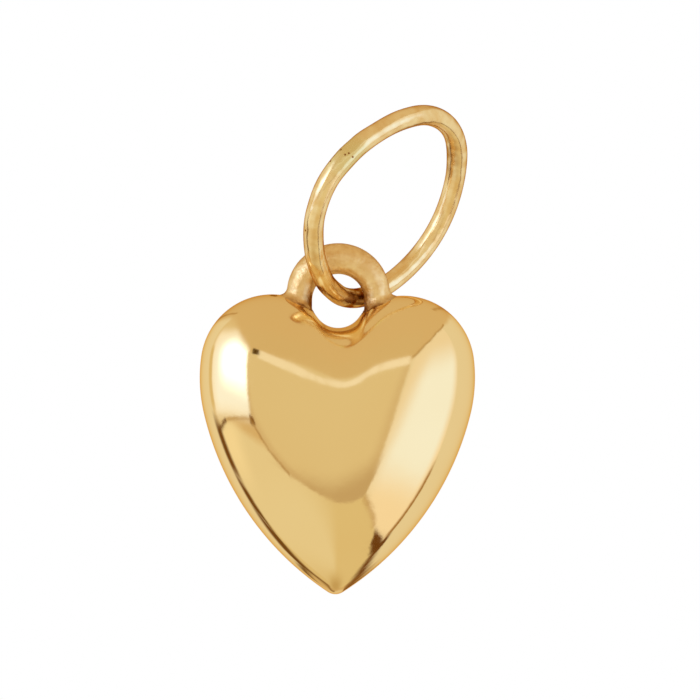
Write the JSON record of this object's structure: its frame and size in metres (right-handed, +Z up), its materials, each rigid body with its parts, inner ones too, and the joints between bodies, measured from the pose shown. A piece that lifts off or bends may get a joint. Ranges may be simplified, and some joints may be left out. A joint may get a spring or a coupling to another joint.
{
  "type": "puffy heart pendant",
  "caption": "Hollow puffed heart of gold with a wire eye over its cleft, hung in an oval wire jump ring that links it to a chain.",
  "frame": {"origin": "where a chain bears, on the inner side of the jump ring's far bend", "axes": "+Z up as the pendant hangs, +X to the right of its face, +Y from its face to its back; the heart's middle plane is parallel to XZ"},
  "size_m": [0.01, 0.0056, 0.0177],
  "materials": {
    "polished_gold": null,
    "satin_gold": null
  },
  "bodies": {
    "ring": {"jump_ring": "satin_gold"},
    "heart": {"heart_front_half": "polished_gold", "heart_back_half": "polished_gold", "eye_loop": "satin_gold"}
  },
  "joints": [
    {"name": "heart_swing", "type": "hinge", "parent": "ring", "child": "heart", "pos_m": [-0.00358, 0.00066, -0.00617], "axis": [0, 1, 0], "range_deg": [-8, 50]}
  ]
}
